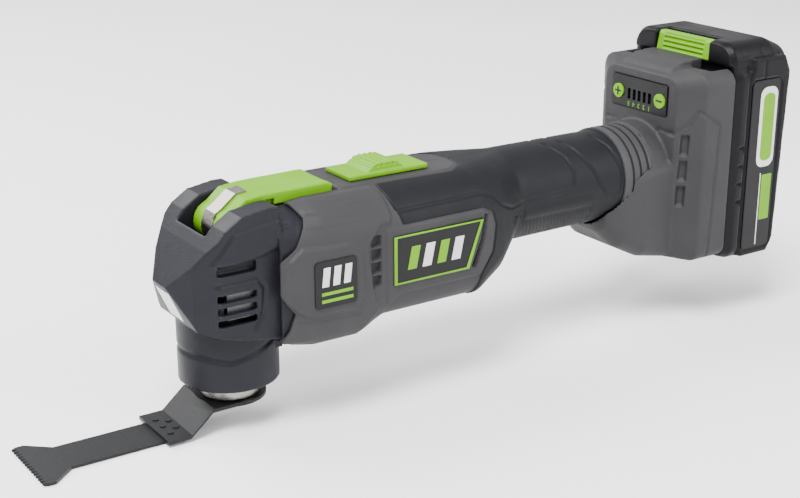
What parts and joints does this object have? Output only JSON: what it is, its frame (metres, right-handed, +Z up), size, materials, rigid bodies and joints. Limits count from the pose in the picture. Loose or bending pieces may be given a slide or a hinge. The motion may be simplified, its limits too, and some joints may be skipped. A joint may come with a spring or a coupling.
{
  "type": "oscillating multi-tool",
  "caption": "Cordless oscillating multi-tool with a quick-release lever head, cranked plunge-cut saw blade, slide switch, rubber grip and slide-on battery pack.",
  "frame": {"origin": "on the output spindle axis, in the underside of the flange ring where an accessory is clamped", "axes": "+Z up the spindle away from the accessory, +X back along the body to the battery, +Y to the tool's right as seen from the battery looking forward"},
  "size_m": [0.3633, 0.07, 0.1304],
  "materials": {
    "blackened_steel": "black oxide, satin",
    "bright_steel": "brushed",
    "bolt_steel": "satin dark",
    "head_nylon": "fine moulded grain",
    "cast_aluminium": "as cast",
    "clear_lens": "clear",
    "circuit_board": "solder mask",
    "black_rubber": "matt",
    "grip_rubber": "matt, fine texture",
    "grey_nylon": "fine moulded grain",
    "green_plastic": "satin",
    "dark_plastic": "moulded",
    "pack_plastic": "coarse moulded texture",
    "label_film": "printed film",
    "lamination_steel": "laminated",
    "copper": "enamelled wire",
    "cell_sleeve": "shrink sleeve"
  },
  "bodies": {
    "housing": {"head_cover": "head_nylon", "gear_case": "cast_aluminium", "led_lens": "clear_lens", "led_board": "circuit_board", "dust_seal": "black_rubber", "spindle_bearing_lower": "bolt_steel", "spindle_bearing_upper": "bolt_steel", "damper_mounts": "black_rubber", "lever_pin": "bright_steel", "stator_core": "lamination_steel", "stator_windings": "copper", "motor_bearing_front": "bolt_steel", "motor_bearing_rear": "bolt_steel", "housing_left": "grey_nylon", "housing_right": "grey_nylon", "grip_left": "grip_rubber", "grip_right": "grip_rubber", "neck_ring": "grip_rubber", "badge_plate": "label_film", "side_label": "label_film", "housing_screws": "bright_steel", "switch_module": "dark_plastic", "controller_board": "circuit_board", "heatsink": "cast_aluminium", "foot_left": "grey_nylon", "foot_right": "grey_nylon", "battery_receptacle": "dark_plastic", "speed_panel": "dark_plastic", "speed_board": "circuit_board", "terminal_block": "dark_plastic", "terminal_blades": "copper"},
    "spindle": {"output_spindle": "bright_steel", "rocker_fork": "bolt_steel", "flange_ring": "bright_steel", "blade_hub": "blackened_steel", "saw_blade": "blackened_steel", "clamp_spring": "bright_steel"},
    "clamp": {"clamp_bolt": "bolt_steel"},
    "lever": {"release_lever": "green_plastic", "lever_strap": "bright_steel"},
    "rotor": {"rotor_core": "lamination_steel", "motor_shaft": "bright_steel", "cooling_fan": "dark_plastic", "eccentric_collar": "bolt_steel", "eccentric_bearing": "bolt_steel"},
    "switch": {"switch_slider": "green_plastic", "switch_link": "dark_plastic"},
    "plus_key": {"plus_button": "green_plastic"},
    "minus_key": {"minus_button": "green_plastic"},
    "battery": {"battery_case_front": "pack_plastic", "battery_case_rear": "pack_plastic", "battery_cells": "cell_sleeve", "cell_holder": "dark_plastic", "cell_straps": "bright_steel", "battery_board": "circuit_board", "battery_contacts": "copper", "battery_labels": "label_film", "battery_screws": "bright_steel", "latch_springs": "bright_steel"},
    "latch": {"battery_latch": "green_plastic"}
  },
  "joints": [
    {"name": "spindle_swing", "type": "hinge", "parent": "housing", "child": "spindle", "pos_m": [0, 0, 0], "axis": [0, 0, 1], "range_deg": [-1.6, 1.6]},
    {"name": "clamp_press", "type": "slide", "parent": "spindle", "child": "clamp", "axis": [0, 0, -1], "range_m": [0, 0.0035]},
    {"name": "lever_flip", "type": "hinge", "parent": "housing", "child": "lever", "pos_m": [0.004, 0, 0.0695], "axis": [0, -1, 0], "range_deg": [0, 100]},
    {"name": "rotor_spin", "type": "hinge", "parent": "housing", "child": "rotor", "pos_m": [0.05, 0, 0.049], "axis": [1, 0, 0], "continuous": true},
    {"name": "switch_slide", "type": "slide", "parent": "housing", "child": "switch", "axis": [-1, 0, 0], "range_m": [0, 0.006]},
    {"name": "plus_press", "type": "slide", "parent": "housing", "child": "plus_key", "axis": [1, 0, 0], "range_m": [0, 0.0008], "stiffness_N_per_m": 800},
    {"name": "minus_press", "type": "slide", "parent": "housing", "child": "minus_key", "axis": [1, 0, 0], "range_m": [0, 0.0008], "stiffness_N_per_m": 800},
    {"name": "battery_slide", "type": "slide", "parent": "housing", "child": "battery", "axis": [0, 0, 1], "range_m": [0, 0.09]},
    {"name": "latch_press", "type": "slide", "parent": "battery", "child": "latch", "axis": [1, 0, 0], "range_m": [0, 0.003], "stiffness_N_per_m": 900}
  ],
  "couplings": [
    {"joint": "clamp_press", "follows": "lever_flip", "m_per_rad": 0.0020054}
  ]
}
